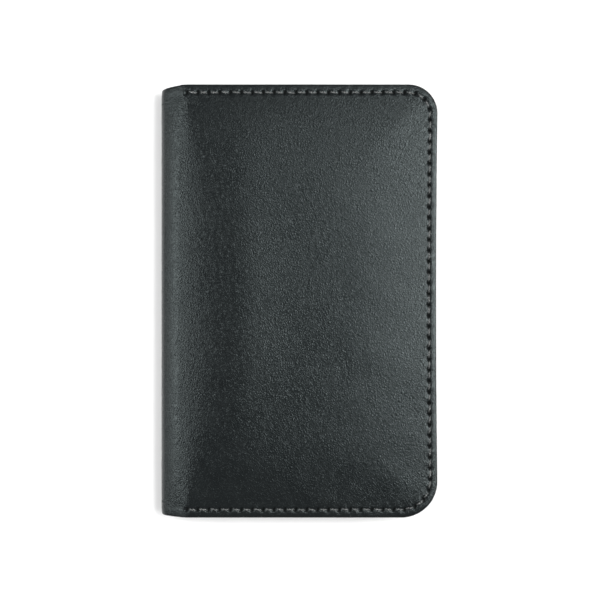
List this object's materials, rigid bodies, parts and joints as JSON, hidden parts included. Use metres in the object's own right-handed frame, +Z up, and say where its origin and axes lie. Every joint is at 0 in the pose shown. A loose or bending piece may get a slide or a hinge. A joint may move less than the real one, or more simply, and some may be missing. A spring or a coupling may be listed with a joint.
{
  "type": "bifold wallet",
  "caption": "Tall bifold wallet in black leather with a rolled spine, rounded fore-edge corners, one stitched seam round three sides, and open inner pockets.",
  "frame": {"origin": "centre of the closed wallet's length and height, on the outer face of the back cover that it lies on", "axes": "+X from the spine to the fore-edge, +Y to the wallet's top, +Z up through the thickness to the front cover"},
  "size_m": [0.0961, 0.15, 0.0122],
  "materials": {
    "cover_leather": "satin, fine pebble grain",
    "pocket_leather": "satin, smooth",
    "thread": "waxed linen thread"
  },
  "bodies": {
    "back_half": {"back_cover": "cover_leather", "back_notebook_panel": "pocket_leather", "back_ticket_panel": "pocket_leather", "back_seam_thread": "thread"},
    "spine_strip_1": {"spine_strip_1": "cover_leather"},
    "spine_strip_2": {"spine_strip_2": "cover_leather"},
    "spine_strip_3": {"spine_strip_3": "cover_leather"},
    "spine_strip_4": {"spine_strip_4": "cover_leather"},
    "spine_strip_5": {"spine_strip_5": "cover_leather"},
    "front_half": {"front_cover": "cover_leather", "front_slip_panel": "pocket_leather", "front_card_panel_1": "pocket_leather", "front_card_panel_2": "pocket_leather", "front_card_panel_3": "pocket_leather", "front_seam_thread": "thread", "divider_thread": "thread"}
  },
  "joints": [
    {"name": "fold_1", "type": "hinge", "parent": "back_half", "child": "spine_strip_1", "pos_m": [-0.04261, 0, 0.0009], "axis": [0, -1, 0], "range_deg": [0, 30]},
    {"name": "fold_2", "type": "hinge", "parent": "spine_strip_1", "child": "spine_strip_2", "pos_m": [-0.0459, 0, 0.0028], "axis": [0, -1, 0], "range_deg": [0, 30]},
    {"name": "fold_3", "type": "hinge", "parent": "spine_strip_2", "child": "spine_strip_3", "pos_m": [-0.0472, 0, 0.00505], "axis": [0, -1, 0], "range_deg": [0, 30]},
    {"name": "fold_4", "type": "hinge", "parent": "spine_strip_3", "child": "spine_strip_4", "pos_m": [-0.0472, 0, 0.00715], "axis": [0, -1, 0], "range_deg": [0, 30]},
    {"name": "fold_5", "type": "hinge", "parent": "spine_strip_4", "child": "spine_strip_5", "pos_m": [-0.0459, 0, 0.0094], "axis": [0, -1, 0], "range_deg": [0, 30]},
    {"name": "fold_6", "type": "hinge", "parent": "spine_strip_5", "child": "front_half", "pos_m": [-0.04261, 0, 0.0113], "axis": [0, -1, 0], "range_deg": [0, 30]}
  ],
  "couplings": [
    {"joint": "fold_2", "follows": "fold_1", "ratio": 1},
    {"joint": "fold_3", "follows": "fold_1", "ratio": 1},
    {"joint": "fold_4", "follows": "fold_1", "ratio": 1},
    {"joint": "fold_5", "follows": "fold_1", "ratio": 1},
    {"joint": "fold_6", "follows": "fold_1", "ratio": 1}
  ]
}
